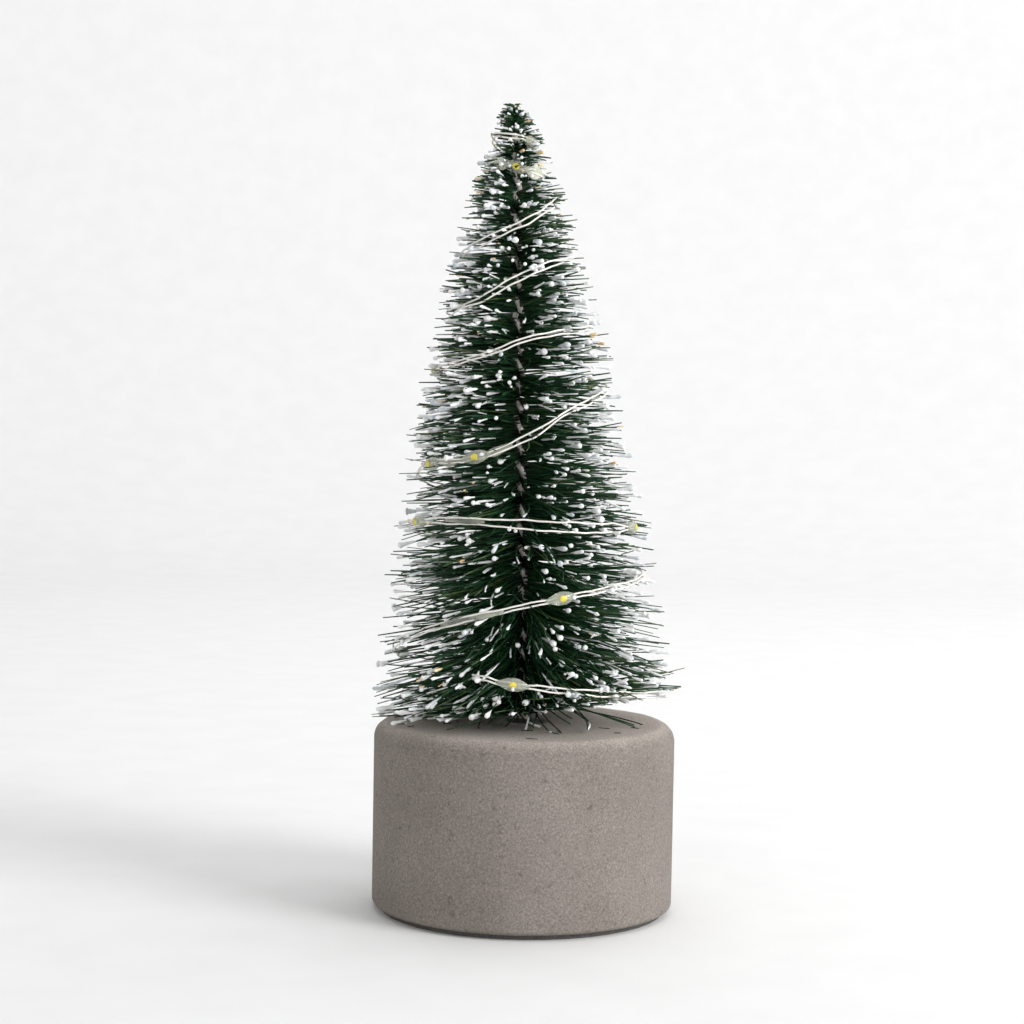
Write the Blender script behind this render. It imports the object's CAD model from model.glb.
"""Looks of the artificial tabletop tree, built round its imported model.

The brush, the trunk, the light string and the concrete base are made again here in fine detail. The other
parts keep their solids and get their materials. Lengths are in metres, and MM turns millimetres into them.
"""

import math
from typing import NamedTuple

import bmesh
import bpy
import numpy as np
from mathutils import Euler, Matrix, Vector, noise


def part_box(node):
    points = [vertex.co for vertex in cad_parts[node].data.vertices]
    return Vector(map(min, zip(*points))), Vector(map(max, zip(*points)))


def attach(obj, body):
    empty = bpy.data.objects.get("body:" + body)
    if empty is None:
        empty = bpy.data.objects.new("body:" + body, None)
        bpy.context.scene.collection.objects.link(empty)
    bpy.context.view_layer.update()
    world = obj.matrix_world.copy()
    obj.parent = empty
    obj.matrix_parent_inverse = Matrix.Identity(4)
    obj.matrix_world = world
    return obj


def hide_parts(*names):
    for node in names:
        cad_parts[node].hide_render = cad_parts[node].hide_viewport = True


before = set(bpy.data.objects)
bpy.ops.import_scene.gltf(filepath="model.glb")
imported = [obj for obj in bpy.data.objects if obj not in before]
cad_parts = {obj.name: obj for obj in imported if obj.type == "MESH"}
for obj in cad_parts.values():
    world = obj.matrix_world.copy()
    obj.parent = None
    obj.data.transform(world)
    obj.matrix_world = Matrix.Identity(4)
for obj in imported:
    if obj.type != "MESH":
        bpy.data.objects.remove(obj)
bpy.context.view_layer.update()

MM = 0.001
SEED = 20

# The frame's own sizes, read back from its solids.
BASE_LOW, BASE_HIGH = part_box("concrete_base")
BASE_TOP = BASE_HIGH.z
BASE_FOOT = BASE_LOW.z
BASE_RADIUS = BASE_HIGH.x
HOUSING_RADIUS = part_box("battery_housing")[1].x
HOUSING_GAP = 0.3 * MM
POCKET_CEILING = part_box("battery_housing")[1].z + HOUSING_GAP
WHORLS = sorted(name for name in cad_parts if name.startswith("bristle_whorl"))
BEADS = sorted(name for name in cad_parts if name.startswith("led_bead"))

# Trunk and brush. The wire is a little thinner than the frame's, and ends lower, out of sight in the crown.
TREE_LEAN = math.radians(1.9)
TRUNK_WIRE = 0.8 * MM
TRUNK_OFFSET = 1.0 * MM
TWIST_PITCH = 12 * MM
TWIST_STEPS = 20
TRUNK_FOOT = 28 * MM
TRUNK_TOP = 226 * MM
BRUSH_FOOT = 57.5 * MM
BRUSH_TOP = 237 * MM
WIDEST = 60 * MM
APEX = 238 * MM
BRUSH_RADIUS = 43.5 * MM

# Light string: its route is the frame's, in mm and in degrees of winding.
STRING_WIRE = 0.26 * MM
CRINKLE = 0.1 * MM
CRINKLE_LENGTHS = (2.3 * MM, 1.1 * MM)
STRING_INSET = 3 * MM
STRING_LEAST_RADIUS = 6.7 * MM
STRING_STEP = 20.0
SMOOTH_STEPS = 6
LEAD_SPREAD = 0.5 * MM
SPREAD_AT_DROP = 0.45
DROP_SPAN = 4.4 * MM
LEAD = [
    ((12, -21, 9.9), (1, 0, 0)),
    ((12, -20, 14), (1, 0, 0)),
    ((10, -16, 18.5), (1, 0, 0)),
    ((5, -6, 19.6), (1, 0, 0)),
    ((1, 5, 19.6), (1, 0, 0)),
    ((0, 9, 21.5), (1, 0, 0)),
    ((0, 9, 26), (1, 0, 0)),
    ((0, 9, 55.5), (0.6, -0.8, 0)),
    ((-1, 8.6, 57.8), (0.6, -0.8, 0)),
    ((-5, 5, 61), (0.7, -0.5, 0.5)),
    ((-9, -3, 64), (0.4, -0.2, 0.9)),
    ((-12, -14, 67.5), (0.2, 0, 1)),
    ((-14, -26, 70.5), (0, 0, 1)),
    ((-14.5, -33, 71.8), (0, 0, 1)),
    ((-11, -37.6, 71.8), (0, 0, 1)),
]
# The way round the tree: degrees of winding from +X, with 270 in front, and the height.
WINDING = [
    (258, 71.4), (266, 70.5), (303, 67), (375, 62), (450, 66), (540, 77), (600, 87.5), (650, 94),
    (720, 98), (810, 104), (900, 113), (953, 115.5), (1035, 112.5), (1090, 112), (1170, 118), (1260, 128),
    (1293, 131.5), (1323, 132.8), (1349, 137), (1384, 146), (1440, 152), (1530, 155.5), (1620, 157.5),
    (1683, 161.5), (1721, 166.5), (1800, 170), (1890, 172), (1980, 174), (2036, 177.5), (2074, 184),
    (2122, 188.5), (2230, 190.5), (2340, 191.5), (2386, 194), (2440, 199.5), (2492, 205), (2610, 212),
    (2700, 216.5), (2767, 217), (2800, 215.5), (2880, 213.5), (2970, 219), (3060, 225), (3150, 224.5),
    (3240, 222.5),
]  # fmt: skip
# Where the lamp drops sit, in degrees of winding.
DROPS = [266, 393, 520, 648, 787, 926, 1065, 1180, 1291, 1325, 1475, 1625, 1860, 2230, 2790, 3215]
# How far each wire stands from the middle of the pair, in mm, by degrees of winding.
PAIR_SPREAD = [
    (258, 0.55), (330, 0.9), (600, 0.7), (700, 0.6), (950, 1.0), (1035, 1.5), (1100, 0.9), (1290, 0.5),
    (1370, 0.9), (1420, 0.6), (1720, 0.6), (2050, 0.8), (2440, 0.9), (2700, 0.6), (3240, 0.5),
]  # fmt: skip
# Between its drops the pair turns to and fro: swings in radians, each with its turns for one of the winding.
WANDER = [(0.55, 5.3), (0.3, 1.9)]
# How many degrees from a drop the swings are full.
FREE_AFTER = 25
# Films of glue between the wires: from and to, in degrees of winding, half the width in mm, and the look.
FILMS = [
    (592, 622, 1.5, "film"),
    (948, 972, 0.9, "film"),
    (1297, 1317, 1.6, "film"),
    (1331, 1346, 1.5, "film"),
    (2738, 2774, 2.2, "pale_film"),
    (2806, 2852, 2.4, "pale_film"),
]
FILM_STEPS = 12
FILM_SIDES = 10
FILM_HALF_THICKNESS = 0.2 * MM


# ---------------------------------------------------------------- meshes


def brush_radius(height):
    """The brush's outer radius at a height or an array of heights."""
    share = np.clip((height - WIDEST) / (APEX - WIDEST), 0.0, 1.0)
    return BRUSH_RADIUS * (1.0 - share) ** (0.48 + 0.2 * share)


def lean_matrix():
    """The tree's lean to the right, about the point where the trunk leaves the concrete."""
    foot = Vector((0, 0, BASE_TOP))
    return Matrix.Translation(foot) @ Matrix.Rotation(-TREE_LEAN, 4, "Y") @ Matrix.Translation(-foot)


def leaning(points):
    """An array of points, turned from the upright tree to the leaning one."""
    matrix = np.array(lean_matrix())
    return points @ matrix[:3, :3].T + matrix[:3, 3]


def show(name, data):
    """A new object in the scene, riding on nothing."""
    made = bpy.data.objects.new(name, data)
    bpy.context.scene.collection.objects.link(made)
    return made


def link(name, data):
    """A new object that rides on the tree."""
    made = show(name, data)
    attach(made, "tree")
    return made


def mesh_from_arrays(name, points, groups, looks):
    """A smooth mesh from points (n, 3) and groups of faces: (array of corners, index of the look)."""
    mesh = bpy.data.meshes.new(name)
    mesh.vertices.add(len(points))
    mesh.vertices.foreach_set("co", points.astype(np.float32).ravel())
    corners = np.concatenate([faces.ravel() for faces, _ in groups])
    sizes = np.concatenate([np.full(len(faces), faces.shape[1]) for faces, _ in groups])
    mesh.loops.add(len(corners))
    mesh.loops.foreach_set("vertex_index", corners.astype(np.int32))
    mesh.polygons.add(len(sizes))
    starts = np.concatenate([[0], np.cumsum(sizes)[:-1]])
    mesh.polygons.foreach_set("loop_start", starts.astype(np.int32))
    mesh.polygons.foreach_set("loop_total", sizes.astype(np.int32))
    chosen = np.concatenate([np.full(len(faces), look) for faces, look in groups])
    mesh.polygons.foreach_set("material_index", chosen.astype(np.int32))
    for look in looks:
        mesh.materials.append(look)
    mesh.update(calc_edges=True)
    mesh.validate()
    mesh.shade_smooth()
    return mesh


STEEP = 0.8


def tubes(lines, radii, sides):
    """Closed round tubes along many lines at once, as points, quads and caps.

    The lines are an array of (line, point, xyz), and the radii one of (line, point).
    """
    count, length = radii.shape
    along = np.gradient(lines, axis=1)
    along /= np.linalg.norm(along, axis=2, keepdims=True)
    steep = np.abs(along[:, :, 2]).mean(axis=1) > STEEP
    reference = np.where(steep[:, None], (1.0, 0.0, 0.0), (0.0, 0.0, 1.0))[:, None]
    side = np.cross(along, reference)
    side /= np.linalg.norm(side, axis=2, keepdims=True)
    over = np.cross(side, along)
    turn = 2 * np.pi * np.arange(sides) / sides
    spread = side[:, :, None] * np.cos(turn)[:, None] + over[:, :, None] * np.sin(turn)[:, None]
    points = lines[:, :, None] + radii[:, :, None, None] * spread
    index = np.arange(count * length * sides).reshape(count, length, sides)
    here, ahead = index[:, :-1], index[:, 1:]
    quads = np.stack([here, ahead, np.roll(ahead, -1, axis=2), np.roll(here, -1, axis=2)], axis=-1)
    caps = np.concatenate([index[:, 0], index[:, -1, ::-1]])
    return points.reshape(-1, 3), quads.reshape(-1, 4), caps


def turned(profile, segments, merge):
    """A bmesh turned about Z from (radius, height) points that start on the axis."""
    bm = bmesh.new()
    verts = [bm.verts.new((r, 0, z)) for r, z in profile]
    edges = [bm.edges.new(pair) for pair in zip(verts, verts[1:])]
    bmesh.ops.spin(bm, geom=verts + edges, axis=(0, 0, 1), angle=2 * math.pi, steps=segments, use_merge=True)
    bmesh.ops.remove_doubles(bm, verts=bm.verts, dist=merge)
    return bm


def turned_mesh(name, profile, segments, look, sharp=40):
    """A solid turned about Z, with its edges sharp where they bend by more than so many degrees."""
    bm = turned(profile, segments, 1e-7)
    bmesh.ops.recalc_face_normals(bm, faces=bm.faces)
    mesh = bpy.data.meshes.new(name)
    bm.to_mesh(mesh)
    bm.free()
    mesh.shade_smooth()
    mesh.set_sharp_from_angle(angle=math.radians(sharp))
    mesh.materials.append(look)
    return mesh


def arc(centre, radius, start, end, steps):
    """Points along a round stretch of a profile, from one angle in degrees to another."""
    angles = [math.radians(start + (end - start) * i / steps) for i in range(steps + 1)]
    return [(centre[0] + radius * math.cos(a), centre[1] + radius * math.sin(a)) for a in angles]


def wire(name, points, radius, look):
    """A round wire through the points, as a curve with filled ends."""
    curve = bpy.data.curves.new(name, "CURVE")
    curve.dimensions = "3D"
    curve.bevel_depth = radius
    curve.bevel_resolution = 2
    curve.use_fill_caps = True
    spline = curve.splines.new("POLY")
    spline.points.add(len(points) - 1)
    for point, place in zip(spline.points, points):
        point.co = (*place, 1)
    curve.materials.append(look)
    return link(name, curve)


# ---------------------------------------------------------------- materials


def new_look(name):
    """A new material: itself, its nodes, its links, its shader and a node with the surface's places."""
    made = bpy.data.materials.new(name)
    made.use_nodes = True
    nodes = made.node_tree.nodes
    return made, nodes, made.node_tree.links, nodes["Principled BSDF"], nodes.new("ShaderNodeTexCoord")


def add_relief(nodes, links, shader, source, strength, depth):
    """A fine bump on the shader, from a noise."""
    relief = nodes.new("ShaderNodeBump")
    relief.inputs["Strength"].default_value = strength
    relief.inputs["Distance"].default_value = depth
    links.new(source.outputs["Fac"], relief.inputs["Height"])
    links.new(relief.outputs["Normal"], shader.inputs["Normal"])


def noise_node(nodes, links, place, scale, detail, roughness=0.5):
    made = nodes.new("ShaderNodeTexNoise")
    made.inputs["Scale"].default_value = scale
    made.inputs["Detail"].default_value = detail
    made.inputs["Roughness"].default_value = roughness
    links.new(place.outputs["Object"], made.inputs["Vector"])
    return made


def multiplied(nodes, links, first, second):
    made = nodes.new("ShaderNodeMix")
    made.data_type = "RGBA"
    made.blend_type = "MULTIPLY"
    made.inputs["Factor"].default_value = 1.0
    links.new(first, made.inputs["A"])
    links.new(second, made.inputs["B"])
    return made.outputs["Result"]


def ramp_node(nodes, links, source, stops):
    made = nodes.new("ShaderNodeValToRGB")
    ramp = made.color_ramp
    while len(ramp.elements) < len(stops):
        ramp.elements.new(0.5)
    for element, (position, colour) in zip(ramp.elements, stops):
        element.position = position
        element.color = (*colour, 1)
    links.new(source, made.inputs["Fac"])
    return made.outputs["Color"]


GRAIN_DETAIL = 4
GRAIN_DARK, GRAIN_LIGHT = 0.36, 0.64


def grained(name, dark, light, scale, roughness, bump=0.0, metallic=0.0, depth=0.05 * MM, **sockets):
    """A surface whose colour drifts between two tones over a noise, with an optional fine bump."""
    made, nodes, links, shader, place = new_look(name)
    drift = noise_node(nodes, links, place, scale, GRAIN_DETAIL)
    tone = ramp_node(nodes, links, drift.outputs["Fac"], [(GRAIN_DARK, dark), (GRAIN_LIGHT, light)])
    links.new(tone, shader.inputs["Base Color"])
    shader.inputs["Roughness"].default_value = roughness
    shader.inputs["Metallic"].default_value = metallic
    for socket, value in sockets.items():
        shader.inputs[socket.replace("_", " ")].default_value = value
    if bump:
        add_relief(nodes, links, shader, drift, bump, depth)
    return made


# Concrete: tones at levels of three noises, and how much brighter it is by height on the lip and the top.
CLOUD_TONES = [(0.3, (0.202, 0.177, 0.157)), (0.7, (0.248, 0.222, 0.198))]
SAND_TONES = [(0.3, (0.58, 0.57, 0.57)), (0.52, (1, 1, 1)), (0.72, (1.46, 1.45, 1.44))]
PIT_TONES = [(0.26, (0.7, 0.7, 0.7)), (0.36, (1, 1, 1))]
WORN_FROM = 6 * MM
WORN_TONES = [
    (0.45, (1, 1, 1)),
    (0.68, (1.14, 1.14, 1.14)),
    (0.88, (1.56, 1.56, 1.56)),
    (1.0, (1.86, 1.87, 1.89)),
]


def worn_rim(nodes, links, place):
    """One on the side, and more on the dusty top and on the lip just below it."""
    split = nodes.new("ShaderNodeSeparateXYZ")
    links.new(place.outputs["Object"], split.inputs["Vector"])
    height = nodes.new("ShaderNodeMapRange")
    height.inputs["From Min"].default_value = BASE_TOP - WORN_FROM
    height.inputs["From Max"].default_value = BASE_TOP
    links.new(split.outputs["Z"], height.inputs["Value"])
    return ramp_node(nodes, links, height.outputs["Result"], WORN_TONES)


def concrete_look():
    """Sandy cast concrete: cloudy taupe, with light and dark grains of sand and a few small pits."""
    made, nodes, links, shader, place = new_look("concrete")
    clouds = noise_node(nodes, links, place, 38, 5, 0.6)
    grains = noise_node(nodes, links, place, 1800, 4, 0.7)
    pits = noise_node(nodes, links, place, 420, 2, 0.5)
    colour = ramp_node(nodes, links, clouds.outputs["Fac"], CLOUD_TONES)
    sand = ramp_node(nodes, links, grains.outputs["Fac"], SAND_TONES)
    holes = ramp_node(nodes, links, pits.outputs["Fac"], PIT_TONES)
    for layer in (sand, holes, worn_rim(nodes, links, place)):
        colour = multiplied(nodes, links, colour, layer)
    links.new(colour, shader.inputs["Base Color"])
    shader.inputs["Roughness"].default_value = 0.93
    shader.inputs["Specular IOR Level"].default_value = 0.25
    add_relief(nodes, links, shader, grains, 0.35, 0.12 * MM)
    return made


def brush_looks():
    return {
        "green": grained(
            "bristle_green", (0.003, 0.02, 0.008), (0.016, 0.072, 0.023), 260, 0.5, Specular_IOR_Level=0.3
        ),
        "frost": grained("frost", (0.44, 0.48, 0.5), (0.7, 0.73, 0.75), 600, 0.75),
        "olive": grained("bristle_olive", (0.018, 0.042, 0.014), (0.08, 0.125, 0.04), 300, 0.45),
        "snow": grained("snow", (0.8, 0.82, 0.83), (0.92, 0.92, 0.91), 900, 0.8, 0.4, depth=0.1 * MM),
        "gold": grained("gold_fleck", (0.74, 0.46, 0.18), (0.86, 0.8, 0.56), 120, 0.4, metallic=0.1),
        "trunk": grained("trunk_wire", (0.38, 0.35, 0.32), (0.68, 0.64, 0.58), 420, 0.5, 0.3, 0.1),
    }


def string_looks():
    resin = {"Transmission_Weight": 0.7, "IOR": 1.4}
    film = {"Transmission_Weight": 0.65, "IOR": 1.3}
    pale_film = {"Transmission_Weight": 0.4, "IOR": 1.3}
    return {
        "string": grained("string_wire", (0.74, 0.72, 0.66), (0.88, 0.86, 0.81), 500, 0.38, metallic=0.15),
        "resin": grained("lamp_resin", (0.62, 0.66, 0.56), (0.78, 0.8, 0.7), 320, 0.16, **resin),
        "film": grained("glue_film", (0.4, 0.42, 0.37), (0.74, 0.75, 0.64), 130, 0.22, **film),
        "pale_film": grained("pale_film", (0.6, 0.62, 0.5), (0.86, 0.87, 0.74), 130, 0.25, **pale_film),
        "phosphor": grained("phosphor", (0.62, 0.5, 0.05), (0.8, 0.68, 0.1), 900, 0.5),
    }


def base_looks():
    return {
        "plastic": grained("black_plastic", (0.016, 0.016, 0.017), (0.024, 0.024, 0.025), 2500, 0.46, 0.25),
        "rubber": grained("rubber", (0.022, 0.022, 0.022), (0.034, 0.034, 0.033), 1800, 0.75, 0.3),
        "foam": grained("foam", (0.07, 0.065, 0.06), (0.11, 0.105, 0.1), 2200, 0.95, 0.8),
        "steel": grained("zinc_steel", (0.46, 0.45, 0.43), (0.6, 0.59, 0.57), 600, 0.32, 0.1, 0.95),
        "nickel": grained("nickel", (0.56, 0.53, 0.49), (0.68, 0.66, 0.62), 700, 0.25, 0.05, 1.0),
        "plug": grained("nylon_plug", (0.3, 0.3, 0.31), (0.38, 0.38, 0.39), 900, 0.6, 0.1),
        "jacket": grained("cell_jacket", (0.05, 0.085, 0.13), (0.07, 0.11, 0.16), 200, 0.3, 0.05, 0.3),
        "board": grained("board", (0.012, 0.1, 0.045), (0.02, 0.15, 0.07), 900, 0.4, 0.2),
        "chip": grained("chip", (0.012, 0.012, 0.012), (0.02, 0.02, 0.02), 1800, 0.55, 0.2),
        "setting": grained("setting", (0.04, 0.036, 0.03), (0.075, 0.068, 0.06), 700, 0.8, 0.6),
    }


def make_looks():
    return {"concrete": concrete_look(), **brush_looks(), **string_looks(), **base_looks()}


# ---------------------------------------------------------------- concrete base and trunk


TOP_EDGE = 4.5 * MM
BOTTOM_EDGE = 1.4 * MM
CAST_SEGMENTS = 160
# Rings of points on the flat stretches: shares of the side's height, and radii on the top in mm.
SIDE_RINGS = (0.2, 0.35, 0.5, 0.65, 0.8)
TOP_RINGS = (36, 32, 28, 24, 20, 16, 12, 8)
# How deep the cast surface is worn at the lip, and the scales of its dents.
WEAR = 0.35 * MM
DENT_SCALES = (95, 310)
# The bores of the trunk, of the string's lead and of the two screw plugs: centre, radius and top.
BORES = [
    ((0, 0), 5.6 * MM, 60 * MM),
    ((0, 9 * MM), 2 * MM, 60 * MM),
    ((0, 29.8 * MM), 3 * MM, 34 * MM),
    ((0, -29.8 * MM), 3 * MM, 34 * MM),
]
BORE_OVERSHOOT = 5 * MM
BORE_SEGMENTS = 32
# The dark filler round the trunk's foot: radius and height in mm.
SETTING = [(0, 54.6), (5.4, 54.6), (5.2, 55.1), (3.4, 55.5), (0, 55.7)]
SETTING_SEGMENTS = 40
TRUNK_SIDES = 10


def base_profile():
    """The cast block's half outline, from the pocket's ceiling down, round and up to the top."""
    pocket = HOUSING_RADIUS + HOUSING_GAP
    side = [(BASE_RADIUS, BASE_FOOT + (BASE_TOP - BASE_FOOT) * share) for share in SIDE_RINGS]
    top = [(radius * MM, BASE_TOP) for radius in TOP_RINGS]
    return (
        [(0, POCKET_CEILING), (pocket, POCKET_CEILING), (pocket, BASE_FOOT)]
        + arc((BASE_RADIUS - BOTTOM_EDGE, BASE_FOOT + BOTTOM_EDGE), BOTTOM_EDGE, -90, 0, 8)
        + side
        + arc((BASE_RADIUS - TOP_EDGE, BASE_TOP - TOP_EDGE), TOP_EDGE, 0, 90, 12)
        + top
        + [(0, BASE_TOP)]
    )


def roughen(mesh, lowest, amount):
    """Moves the points above a height in and down a little by a smooth noise, as on a cast block's lip."""
    coarse, fine = DENT_SCALES
    for vertex in mesh.vertices:
        place = vertex.co
        if place.z < lowest:
            continue
        dent = noise.noise(place * coarse) + 0.5 * noise.noise(place * fine)
        edge = max(0.0, 1 - abs(place.xy.length - BASE_RADIUS + TOP_EDGE / 2) / TOP_EDGE)
        inward = Vector((-place.x, -place.y, 0)) / BASE_RADIUS + Vector((0, 0, -0.5))
        vertex.co = place + inward * (amount * edge * (0.6 + dent))


def cut_bores(base, look):
    """Cuts the bores into the base, and leaves it with a plain mesh."""
    foot = POCKET_CEILING - BORE_OVERSHOOT
    for number, ((x, y), radius, top) in enumerate(BORES):
        profile = [(0, foot), (radius, foot), (radius, top), (0, top)]
        cutter = show(f"bore_{number}", turned_mesh("bore", profile, BORE_SEGMENTS, look))
        cutter.location = (x, y, 0)
        cut = base.modifiers.new(f"bore_{number}", "BOOLEAN")
        cut.solver = "EXACT"
        cut.object = cutter
    bpy.context.view_layer.update()
    base.data = bpy.data.meshes.new_from_object(base.evaluated_get(bpy.context.evaluated_depsgraph_get()))
    for cutter in [cut.object for cut in base.modifiers]:
        bpy.data.objects.remove(cutter)
    base.modifiers.clear()


def make_base(looks):
    mesh = turned_mesh("cast_base", base_profile(), CAST_SEGMENTS, looks["concrete"])
    roughen(mesh, BASE_TOP - TOP_EDGE, WEAR)
    base = link("cast_base", mesh)
    cut_bores(base, looks["concrete"])
    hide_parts("concrete_base")


def make_setting(looks):
    profile = [(radius * MM, height * MM) for radius, height in SETTING]
    mesh = turned_mesh("trunk_setting", profile, SETTING_SEGMENTS, looks["setting"])
    link("trunk_setting", mesh)


def make_trunk(looks):
    """Two wires twisted together, left-handed."""
    steps = int((TRUNK_TOP - TRUNK_FOOT) / TWIST_PITCH * TWIST_STEPS)
    height = np.linspace(TRUNK_FOOT, TRUNK_TOP, steps)
    for label, phase in (("a", 0.0), ("b", math.pi)):
        angle = phase - 2 * math.pi * height / TWIST_PITCH
        line = np.stack([TRUNK_OFFSET * np.cos(angle), TRUNK_OFFSET * np.sin(angle), height], axis=1)
        points, quads, caps = tubes(leaning(line)[None], np.full((1, steps), TRUNK_WIRE), TRUNK_SIDES)
        mesh = mesh_from_arrays(f"trunk_{label}", points, [(quads, 0), (caps, 0)], [looks["trunk"]])
        piece = link(f"trunk_{label}", mesh)
        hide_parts(f"core_wire_{label}")


# ---------------------------------------------------------------- brush


FRONT = -math.pi / 2
# In front the long strands stand parted over the trunk: half the gap's width, from which reaches it opens,
# the heights over which it half closes, and the share of strands that it takes away.
PARTING = 3.8 * MM
PARTED_REACHES = np.array([5, 14]) * MM
CLOSING_HEIGHTS = np.array([180, 208]) * MM
PARTING_DEPTH = 0.96
ROOT_RADIUS = 0.3 * MM
LEAST_REACH = 1.8 * MM
# How strands rise or droop for each unit of reach, by height, and how much more they droop in front.
SLOPE_HEIGHTS = np.array([57, 75, 95, 120, 180, 222, 232, 238]) * MM
SLOPES = [-0.1, -0.11, -0.05, -0.01, 0.03, 0.06, 0.12, 0.25]
FRONT_DROOP = 0.2
DROOP_HEIGHTS = np.array([62, 78, 100]) * MM
HIGHEST = APEX - 2.6 * MM
# How many tufts the widest twist holds, and how many times as many spots its loose strands stand in.
TUFTS = 75
LOOSE = 4
STRAND_SIDES = 5


class Tufts:
    """The loose tufts that the strands of one twist stand in: root height, azimuth and slope of each."""

    def __init__(self, chance, low, high, count):
        self.root = chance.uniform(low, high, count)
        side = chance.integers(0, 2, count) * math.pi
        between = side + math.pi / 2
        self.azimuth = between - 2 * math.pi * self.root / TWIST_PITCH + chance.normal(0, 0.75, count)
        self.slope = np.interp(self.root, SLOPE_HEIGHTS, SLOPES) + chance.normal(0, 0.05, count)


class Kind(NamedTuple):
    """One kind of strand: its count in the widest twist, what the count follows, and where it is rooted."""

    count: int
    scale: str
    roots: str
    reach: tuple  # least and most, as shares of the brush's radius
    radius: float
    look: str


KINDS = {
    "snowy": Kind(132, "snow", "loose", (0.62, 1.02), 0.22 * MM, "green"),
    "dusted": Kind(78, "snow", "tufts", (0.45, 0.93), 0.2 * MM, "green"),
    "clumped": Kind(11, "all", "loose", (0.95, 1.07), 0.2 * MM, "green"),
    "plain": Kind(190, "all", "tufts", (0.6, 1.05), 0.26 * MM, "green"),
    "short": Kind(95, "all", "tufts", (0.3, 0.7), 0.24 * MM, "green"),
    "outer": Kind(42, "all", "tufts", (0.86, 1.08), 0.22 * MM, "olive"),
    "flecked": Kind(4, "crown", "loose", (0.85, 1.02), 0.2 * MM, "green"),
}
BRISTLE_LOOKS = ("green", "olive", "snow", "frost", "gold")


class Strands:
    """Many strands of one kind: root height, azimuth, slope, reach and bend of each, all as arrays."""

    def __init__(self, chance, tufts, kind, scale):
        self.kind = kind
        count = int(kind.count * scale)
        tuft = chance.integers(0, len(tufts.root), count)
        root = tufts.root[tuft] + chance.normal(0, 0.7 * MM, count)
        root = np.minimum(root, HIGHEST - chance.uniform(0.8 * MM, 7 * MM, count))
        azimuth = tufts.azimuth[tuft] + chance.normal(0, 0.07, count)
        slope = tufts.slope[tuft] + chance.normal(0, 0.03, count)
        front = np.clip(np.cos(azimuth - FRONT), 0, 1)
        slope = slope - FRONT_DROOP * front**2 * np.interp(root, DROOP_HEIGHTS, [0.5, 1, 0])
        tip = np.clip(root + slope * brush_radius(root), BRUSH_FOOT, APEX - MM)
        reach = np.maximum(brush_radius(tip) * chance.uniform(*kind.reach, count), LEAST_REACH)
        sag = chance.normal(-0.02, 0.05, count)
        lowest = lowest_tip(reach, azimuth) + chance.exponential(2.8 * MM, count)
        slope = np.maximum(slope, (lowest - root) / reach - sag)
        highest = HIGHEST - chance.exponential(0.9 * MM, count) - 0.15 * reach
        slope = np.minimum(slope, (highest - root) / reach - sag)
        aside = np.sin(azimuth - FRONT) * reach
        parted = np.interp(reach, PARTED_REACHES, [0, PARTING_DEPTH]) * (front > 0)
        parted = parted * np.interp(root, CLOSING_HEIGHTS, [1, 0.5])
        thinned = parted * np.exp(-((aside / PARTING) ** 4))
        kept = chance.random(count) > thinned
        self.root, self.azimuth, self.slope = root[kept], azimuth[kept], slope[kept]
        self.reach, self.sag = reach[kept], sag[kept]
        self.swirl = chance.normal(0, 0.09, count)[kept]
        self.count = int(kept.sum())

    def points(self, shares):
        """Places along every strand: shares is (n, p) or (p,), 0 at the trunk and 1 at the tip."""
        shares = np.broadcast_to(shares, (self.count, np.shape(shares)[-1]))
        out = ROOT_RADIUS + self.reach[:, None] * shares
        angle = self.azimuth[:, None] + self.swirl[:, None] * shares**2
        rise = self.slope[:, None] * shares + self.sag[:, None] * shares * shares
        height = self.root[:, None] + rise * self.reach[:, None]
        return leaning(np.stack([out * np.cos(angle), out * np.sin(angle), height], axis=2))


def lowest_tip(reach, azimuth):
    """How low a tip may hang: near the concrete on the -X side, clear of it on the +X side and in front."""
    front = np.clip(np.cos(azimuth - FRONT), 0, 1)
    return BASE_TOP + 1 * MM + (0.07 + 0.08 * np.cos(azimuth) + 0.09 * front) * reach


THINNING = np.array([1, 1, 1, 0.95, 0.85, 0.6])


def bare_part(strands, chance):
    """The strands themselves, thinner towards the tip."""
    shares = np.linspace(0, 1, len(THINNING))
    thick = strands.kind.radius * chance.uniform(0.75, 1.25, (strands.count, 1)) * THINNING
    return tubes(strands.points(shares), thick, STRAND_SIDES)


# Coats: the run along a coat, and the radius of each kind there.
COAT_RUN = np.array([0, 0.16, 0.34, 0.52, 0.7, 0.84, 0.94, 1.0])
SNOW_COAT = np.array([0.12, 0.2, 0.26, 0.33, 0.44, 0.55, 0.47, 0.17]) * MM
DUST_COAT = np.array([0.16, 0.25, 0.23, 0.27, 0.22, 0.26, 0.24, 0.1]) * MM
CLUMP_COAT = np.array([0.15, 0.28, 0.36, 0.44, 0.54, 0.6, 0.5, 0.2]) * MM
FLECK_COAT = np.array([0.2, 0.26, 0.3, 0.3, 0.32, 0.3, 0.24, 0.1]) * MM


def coat_part(strands, chance, coat, lengths, sides):
    """A lumpy coat over the outer end of each strand."""
    length = np.minimum(chance.uniform(*lengths, strands.count), 0.45 * strands.reach)
    start = (1 - length / strands.reach)[:, None]
    shares = start + (1.01 - start) * COAT_RUN
    size = chance.lognormal(0, 0.28, (strands.count, 1)).clip(0.55, 1.7)
    radii = coat * size * chance.uniform(0.75, 1.25, (strands.count, len(coat)))
    return tubes(strands.points(shares), radii, sides)


class Coat(NamedTuple):
    """What covers the outer part of one kind of strand, and whether its radii shrink with the twist."""

    radii: np.ndarray
    shrinks: bool
    lengths: tuple
    sides: int
    look: str


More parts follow.
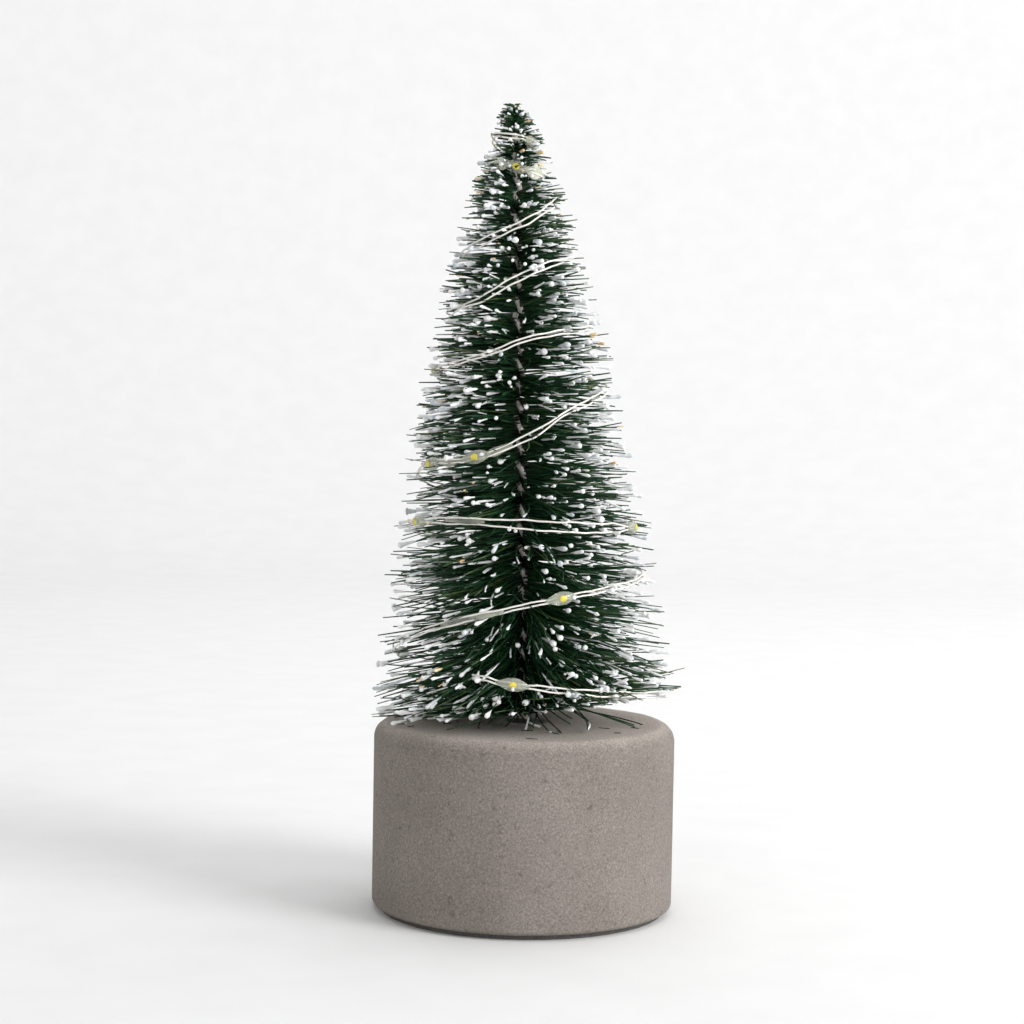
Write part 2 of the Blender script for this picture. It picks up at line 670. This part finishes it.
COATS = {
    "snowy": Coat(SNOW_COAT, True, (2.4 * MM, 7 * MM), 7, "snow"),
    "dusted": Coat(DUST_COAT, False, (4 * MM, 14 * MM), 5, "snow"),
    "clumped": Coat(CLUMP_COAT, True, (3 * MM, 7 * MM), 7, "frost"),
    "flecked": Coat(FLECK_COAT, False, (1 * MM, 2.4 * MM), 6, "gold"),
}


def joined(parts):
    """Many parts of (points, quads, caps) with their looks, as one array of points and groups of faces."""
    points, groups, first = [], [], 0
    for (places, quads, caps), look in parts:
        number = BRISTLE_LOOKS.index(look)
        points.append(places)
        groups += [(quads + first, number), (caps + first, number)]
        first += len(places)
    return np.concatenate(points), groups


def make_whorl(index, node, looks):
    """The strands clamped in one twist of the trunk, as one piece."""
    chance = np.random.default_rng(SEED + index)
    pitch = (BRUSH_TOP - BRUSH_FOOT) / len(WHORLS)
    low = BRUSH_FOOT + pitch * index
    high = low + pitch
    width = float(brush_radius(low + pitch / 2)) / BRUSH_RADIUS
    share = 0.6 + 0.4 * width
    snow_share = min(1.0, 0.5 + 2 * width) * (0.35 + 0.65 * width)
    snow_size = min(1.0, 0.55 + width)
    tufts = Tufts(chance, low, high, int(TUFTS * share))
    loose = Tufts(chance, low, high, int(LOOSE * TUFTS * share))
    roots = {"tufts": tufts, "loose": loose}
    scales = {"all": share, "snow": snow_share, "crown": 1 + 3 * max(0.0, 0.5 - width)}
    kinds = {}
    for name, kind in KINDS.items():
        kinds[name] = Strands(chance, roots[kind.roots], kind, scales[kind.scale])
    parts = [(bare_part(strands, chance), strands.kind.look) for strands in kinds.values()]
    for name, coat in COATS.items():
        radii = coat.radii * (snow_size if coat.shrinks else 1.0)
        parts.append((coat_part(kinds[name], chance, radii, coat.lengths, coat.sides), coat.look))
    name = f"bristles_{index + 1:02d}"
    piece = link(name, mesh_from_arrays(name, *joined(parts), [looks[look] for look in BRISTLE_LOOKS]))
    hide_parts(node)


STRAY_COUNT = 26
CRUMB_COUNT = 12
STRAY_STEPS = 17
STRAY_LIMIT = 40 * MM
STRAY_RADIUS = 0.2 * MM
CRUMB_RADIUS = 0.12 * MM
# Every so many strays end in white, over so many of their steps.
WHITE_EVERY = 5
WHITE_STEPS = 4
WHITE_RADIUS = 0.3 * MM
WHITE_SIDES = 6


def stray_lines(chance):
    """Bent strands that reach down from the trunk's foot and lie on the concrete, most of them in front."""
    azimuth = FRONT + chance.normal(0.2, 0.85, STRAY_COUNT)
    length = chance.uniform(12, 36, STRAY_COUNT) * MM
    shares = np.linspace(0, 1, STRAY_STEPS)
    out = np.minimum(1.5 * MM + length[:, None] * shares, STRAY_LIMIT)
    column = (STRAY_COUNT, 1)
    angle = azimuth[:, None] + chance.normal(0, 0.35, column) * shares**2
    root = chance.uniform(6, 16, column) * MM
    drop = root * (1 - shares ** chance.uniform(0.7, 1.8, column))
    lift = chance.exponential(0.9, column) * MM * shares**3
    height = BASE_TOP + 0.3 * MM + drop + lift
    return np.stack([out * np.cos(angle), out * np.sin(angle), height], axis=2)


def crumb_lines(chance):
    """Short broken bits of strand that lie about on the concrete."""
    azimuth = chance.uniform(-math.pi, 0, CRUMB_COUNT)
    out = chance.uniform(20, 38, CRUMB_COUNT) * MM
    heading = chance.uniform(0, math.pi, CRUMB_COUNT)
    length = chance.uniform(1.5, 5, CRUMB_COUNT) * MM
    shares = np.linspace(-0.5, 0.5, STRAY_STEPS)
    bend = chance.normal(0, 0.25, (CRUMB_COUNT, 1)) * shares**2
    x = (out * np.cos(azimuth))[:, None] + length[:, None] * shares * np.cos(heading[:, None] + bend)
    y = (out * np.sin(azimuth))[:, None] + length[:, None] * shares * np.sin(heading[:, None] + bend)
    return np.stack([x, y, np.full_like(x, BASE_TOP + 0.25 * MM)], axis=2)


def make_strays(looks):
    chance = np.random.default_rng(SEED + 100)
    lines = np.concatenate([stray_lines(chance), crumb_lines(chance)])
    radii = np.repeat([STRAY_RADIUS, CRUMB_RADIUS], [STRAY_COUNT, CRUMB_COUNT])
    points, quads, caps = tubes(lines, radii[:, None] * np.ones(STRAY_STEPS), STRAND_SIDES)
    white = lines[::WHITE_EVERY, -WHITE_STEPS:]
    tip_points, tip_quads, tip_caps = tubes(white, np.full(white.shape[:2], WHITE_RADIUS), WHITE_SIDES)
    first = len(points)
    groups = [(quads, 0), (caps, 0), (tip_quads + first, 1), (tip_caps + first, 1)]
    looks_used = [looks["green"], looks["snow"]]
    mesh = mesh_from_arrays("stray_strands", np.concatenate([points, tip_points]), groups, looks_used)
    link("stray_strands", mesh)


# ---------------------------------------------------------------- light string


def winding_height(angle):
    """The string's height at an angle of winding, by a smooth curve through the rows of the table."""
    first = max(i for i in range(len(WINDING) - 1) if WINDING[i][0] <= angle or i == 0)
    near = [WINDING[min(max(first + k, 0), len(WINDING) - 1)] for k in (-1, 0, 1, 2)]
    (a0, h0), (a1, h1), (a2, h2), (a3, h3) = near
    width = a2 - a1
    start = (h2 - h0) / (a2 - a0) * width
    end = (h3 - h1) / (a3 - a1) * width
    t = (angle - a1) / width
    low = (2 * t**3 - 3 * t**2 + 1) * h1 + (t**3 - 2 * t**2 + t) * start
    return (low + (3 * t**2 - 2 * t**3) * h2 + (t**3 - t**2) * end) * MM


def winding_point(angle):
    height = winding_height(angle)
    radius = max(float(brush_radius(height)) - STRING_INSET, STRING_LEAST_RADIUS)
    turn = math.radians(angle)
    return Vector((radius * math.cos(turn), radius * math.sin(turn), height))


def drop_reach(angle):
    radius = winding_point(angle).xy.length
    half = math.degrees(math.asin(DROP_SPAN / radius))
    return angle - half, angle + half


def winding_angles(reaches):
    first, last = WINDING[0][0], WINDING[-1][0]
    even = [first + STRING_STEP * i for i in range(int((last - first) / STRING_STEP) + 1)]
    margin = STRING_STEP / 4
    even = [a for a in even if not any(low - margin < a < high + margin for low, high in reaches)]
    return sorted(even + [end for pair in reaches for end in pair])


def across(side, along):
    return (side - along * side.dot(along)).normalized()


def string_route():
    """The frame's own points, with the way across the pair, the spread and the winding angle at each."""
    lean = lean_matrix()
    reaches = [drop_reach(angle) for angle in DROPS]
    angles = winding_angles(reaches)
    points = [Vector(place) * MM for place, _ in LEAD] + [lean @ winding_point(a) for a in angles]
    up = (lean.to_3x3() @ Vector((0, 0, 1))).normalized()
    wanted = [Vector(side) for _, side in LEAD] + [up] * len(angles)
    first = WINDING[0][0]
    spots = [first - len(LEAD) + i for i in range(len(LEAD))] + angles
    spread = [LEAD_SPREAD] * len(LEAD)
    known, halves = zip(*PAIR_SPREAD)
    for angle in angles:
        at_drop = any(low - 1e-6 <= angle <= high + 1e-6 for low, high in reaches)
        half = SPREAD_AT_DROP if at_drop else float(np.interp(angle, known, halves))
        spread.append(half * MM)
    return points, wanted, spread, spots, reaches


def smooth_run(values, steps):
    """A Catmull-Rom curve through rows of values, with a few steps to each stretch."""
    rows = np.array(values, float)
    padded = np.vstack([2 * rows[0] - rows[1], rows, 2 * rows[-1] - rows[-2]])
    made = []
    for i in range(1, len(padded) - 2):
        a, b, c, d = padded[i - 1 : i + 3]
        for k in range(steps):
            t = k / steps
            line = 2 * b + (c - a) * t
            square = (2 * a - 5 * b + 4 * c - d) * t**2
            cube = (3 * b - a - 3 * c + d) * t**3
            made.append(0.5 * (line + square + cube))
    made.append(rows[-1])
    return np.array(made)


def direction(places, i):
    """The way along a line of places at one of them."""
    return (places[min(i + 1, len(places) - 1)] - places[max(i - 1, 0)]).normalized()


def make_string(looks):
    points, wanted, spread, spots, reaches = string_route()
    rows = [[*p, *w, s, a] for p, w, s, a in zip(points, wanted, spread, spots)]
    run = smooth_run(rows, SMOOTH_STEPS)
    places = [Vector(row[:3]) for row in run]
    halves = [row[6] for row in run]
    angles = run[:, 7]
    sides = [across(Vector(row[3:6]), direction(places, i)) for i, row in enumerate(run)]
    turned_sides = wandering_sides(places, sides, angles, reaches)
    for label, sign in (("a", 1), ("b", -1)):
        offsets = np.array(halves) + crinkle(places, sign)
        line = [place + side * (sign * offset) for place, side, offset in zip(places, turned_sides, offsets)]
        piece = wire(f"string_{label}", line, STRING_WIRE, looks["string"])
        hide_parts(f"light_wire_{label}")
    for number, (low, high, half, look) in enumerate(FILMS):
        make_film(number, *string_stretch(angles, places, sides, low, high), half * MM, looks[look])
    make_beads(reaches, looks)


def make_beads(reaches, looks):
    lean = lean_matrix()
    up = (lean.to_3x3() @ Vector((0, 0, 1))).normalized()
    for node, (low, high) in zip(BEADS, reaches):
        start, end = lean @ winding_point(low), lean @ winding_point(high)
        along = (end - start).normalized()
        side = across(up, along)
        turn = Matrix((along, side, along.cross(side))).transposed().to_4x4()
        make_bead(node, Matrix.Translation((start + end) / 2) @ turn, looks)


def crinkle(places, sign):
    """Small bends all along a wire, other ones for each of the two."""
    steps = [(b - a).length for a, b in zip(places, places[1:])]
    run = np.concatenate([[0], np.cumsum(steps)])
    long, short = CRINKLE_LENGTHS
    return CRINKLE * (np.sin(run / long + sign) + 0.7 * np.sin(run / short + 2 * sign))


def wandering_sides(places, sides, angles, reaches):
    """The ways across the pair, turned to and fro about the string between its drops."""
    made = []
    for i, (side, angle) in enumerate(zip(sides, angles)):
        distance = min(max(low - angle, angle - high, 0) for low, high in reaches)
        freedom = min(distance / FREE_AFTER, 1.0) if angle > WINDING[0][0] else 0.0
        turn = freedom * sum(swing * math.sin(math.radians(angle) * turns) for swing, turns in WANDER)
        made.append(Matrix.Rotation(turn, 3, direction(places, i)) @ side)
    return made


def string_stretch(angles, places, sides, low, high):
    """Even steps along the string from one angle of winding to another: the places and the ways across."""
    wanted = np.linspace(low, high, FILM_STEPS)
    rows = [np.array([value[k] for value in values]) for values in (places, sides) for k in range(3)]
    read = np.stack([np.interp(wanted, angles, row) for row in rows], axis=1)
    return [Vector(row[:3]) for row in read], [Vector(row[3:]).normalized() for row in read]


def make_film(number, places, sides, half, look):
    """A thin lens of glue between the two wires."""
    count = len(places)
    rings = []
    for i, (place, side) in enumerate(zip(places, sides)):
        share = i / (count - 1)
        lumps = 0.88 + 0.14 * math.sin(8 * share + 2 * number)
        width = half * lumps * (0.2 + 0.8 * math.sin(math.pi * min(max(share, 0.03), 0.97)) ** 0.7)
        out = direction(places, i).cross(side)
        for k in range(FILM_SIDES):
            turn = 2 * math.pi * k / FILM_SIDES
            thick = FILM_HALF_THICKNESS * math.sin(turn)
            rings.append(place + side * (width * math.cos(turn)) + out * thick)
    index = np.arange(count * FILM_SIDES).reshape(count, FILM_SIDES)
    here, ahead = index[:-1], index[1:]
    corners = [here, np.roll(here, -1, axis=1), np.roll(ahead, -1, axis=1), ahead]
    quads = np.stack(corners, axis=-1).reshape(-1, 4)
    caps = np.stack([index[0, ::-1], index[-1]])
    mesh = mesh_from_arrays(f"film_{number + 1}", np.array(rings), [(quads, 0), (caps, 0)], [look])
    link(f"film_{number + 1}", mesh)


# A drop's half outline: radius and place along it, in mm.
DROP_PROFILE = [
    (0, -5.2), (0.42, -4.9), (0.75, -4.0), (1.25, -2.9), (1.7, -1.7), (1.88, -0.5), (1.9, 0.6),
    (1.72, 1.7), (1.3, 2.8), (0.8, 3.7), (0.45, 4.4), (0, 4.7),
]  # fmt: skip
DROP_SEGMENTS = 24
DROP_SHARP = 80
DROP_FLATNESS = 0.86
CHIP_RADIUS = 1.1 * MM
CHIP_STRETCH = (1.15, 0.95, 0.6)
CHIP_OUT = 1.2 * MM


def make_bead(node, place, looks):
    """A drop of resin drawn out along the wires, with its lamp chip near the outer side."""
    number = node[-2:]
    profile = [(radius * MM, height * MM) for radius, height in DROP_PROFILE]
    mesh = turned_mesh(f"drop_{number}", profile, DROP_SEGMENTS, looks["resin"], DROP_SHARP)
    mesh.transform(Matrix.Rotation(math.pi / 2, 4, "Y"))
    mesh.transform(Matrix.Diagonal((1, 1, DROP_FLATNESS, 1)))
    mesh.transform(place)
    drop = link(f"drop_{number}", mesh)
    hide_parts(node)
    make_chip(f"lamp_chip_{number}", place, looks["phosphor"])


def make_chip(name, place, look):
    bm = bmesh.new()
    bmesh.ops.create_icosphere(bm, subdivisions=2, radius=CHIP_RADIUS)
    bmesh.ops.scale(bm, vec=CHIP_STRETCH, verts=bm.verts)
    chip = bpy.data.meshes.new(name)
    bm.to_mesh(chip)
    bm.free()
    chip.transform(Matrix.Translation((0, 0, outward_sign(place) * CHIP_OUT)))
    chip.transform(place)
    chip.shade_smooth()
    chip.materials.append(look)
    link(name, chip)


def outward_sign(place):
    """Which way along a drop's own third axis leads away from the trunk."""
    third = place.to_3x3().col[2]
    centre = place.translation
    return 1 if third.dot(Vector((centre.x, centre.y, 0))) > 0 else -1


# ---------------------------------------------------------------- the parts that keep their solids


KEPT = {
    "foam": ["base_pad"],
    "steel": ["trunk_ferrule", "switch_body", "housing_screw_1", "housing_screw_2"],
    "rubber": ["lead_grommet", "switch_slider"],
    "plastic": ["battery_housing", "battery_cover"],
    "nickel": [f"contact_{kind}_{number}" for kind in ("plate", "spring") for number in (1, 2, 3)],
    "board": ["circuit_board"],
    "chip": ["timer_chip", "resistor"],
    "plug": ["screw_plug_1", "screw_plug_2"],
    "jacket": ["battery_cell_1", "battery_cell_2", "battery_cell_3"],
}


def dress_kept_nodes(looks):
    for look, nodes in KEPT.items():
        for node in nodes:
            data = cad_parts[node].data
            data.materials.clear()
            data.materials.append(looks[look])


# ---------------------------------------------------------------- studio


WALL_RADIUS = 1.9
WALL_BEND = 0.7
WALL_TOP = 2.6
STAGE_SEGMENTS = 96
MIDDLE = (0, 0, 0.1)
# Each light's place, what it points at, its size and its energy.
LIGHTS = {
    "key": ((1.2, -0.72, 0.7), MIDDLE, 0.8, 18.5),
    "fill": ((-0.5, -1.45, 0.35), MIDDLE, 1.1, 3.5),
    "backdrop": ((0.35, 0.6, 1.4), (0.45, 1.6, 0.0), 1.7, 11),
}
WORLD_STRENGTH = 0.54
LENS = 77.8
CAMERA_PLACE = (0, -0.646, 0.1475)
CAMERA_DOWN = math.radians(2.77)
CAMERA_LEFT = math.radians(0.42)
CAMERA_ROLL = math.radians(1.0)


def make_stage():
    """A pale floor that curves up into a wall all round, so that no edge shows from any side."""
    flat = WALL_RADIUS - WALL_BEND
    profile = [(0, 0), (0.3, 0), (0.8, 0), (flat, 0)]
    profile += arc((flat, WALL_BEND), WALL_BEND, -90, 0, 16) + [(WALL_RADIUS, WALL_TOP)]
    bm = turned(profile, STAGE_SEGMENTS, 1e-6)
    mesh = bpy.data.meshes.new("stage")
    bm.to_mesh(mesh)
    bm.free()
    mesh.shade_smooth()
    mesh.materials.append(grained("paper", (0.8, 0.8, 0.8), (0.82, 0.82, 0.82), 40, 0.9))
    stage = show("stage", mesh)


def area_light(name, place, target, size, energy):
    data = bpy.data.lights.new(name, "AREA")
    data.shape = "DISK"
    data.size = size
    data.energy = energy
    made = show(name, data)
    made.location = place
    made.rotation_euler = (Vector(target) - Vector(place)).to_track_quat("-Z", "Y").to_euler()


def make_lights():
    for name, setting in LIGHTS.items():
        area_light(name, *setting)
    world = bpy.data.worlds.new("studio")
    world.use_nodes = True
    world.node_tree.nodes["Background"].inputs["Color"].default_value = (1, 1, 1, 1)
    world.node_tree.nodes["Background"].inputs["Strength"].default_value = WORLD_STRENGTH
    bpy.context.scene.world = world


def make_camera():
    """Just above the tree's middle and a little over half a metre away, turned slightly to the left."""
    data = bpy.data.cameras.new("camera")
    data.lens = LENS
    data.clip_start = 0.01
    data.clip_end = 20
    camera = show("camera", data)
    camera.location = CAMERA_PLACE
    aim = Euler((math.pi / 2 - CAMERA_DOWN, 0, CAMERA_LEFT)).to_matrix()
    camera.rotation_euler = (aim @ Matrix.Rotation(CAMERA_ROLL, 3, "Z")).to_euler()
    bpy.context.scene.camera = camera
    bpy.context.scene.view_settings.view_transform = "Standard"


def main():
    looks = make_looks()
    make_camera()
    make_stage()
    make_lights()
    make_base(looks)
    make_setting(looks)
    make_trunk(looks)
    for index, node in enumerate(WHORLS):
        make_whorl(index, node, looks)
    make_strays(looks)
    make_string(looks)
    dress_kept_nodes(looks)


main()
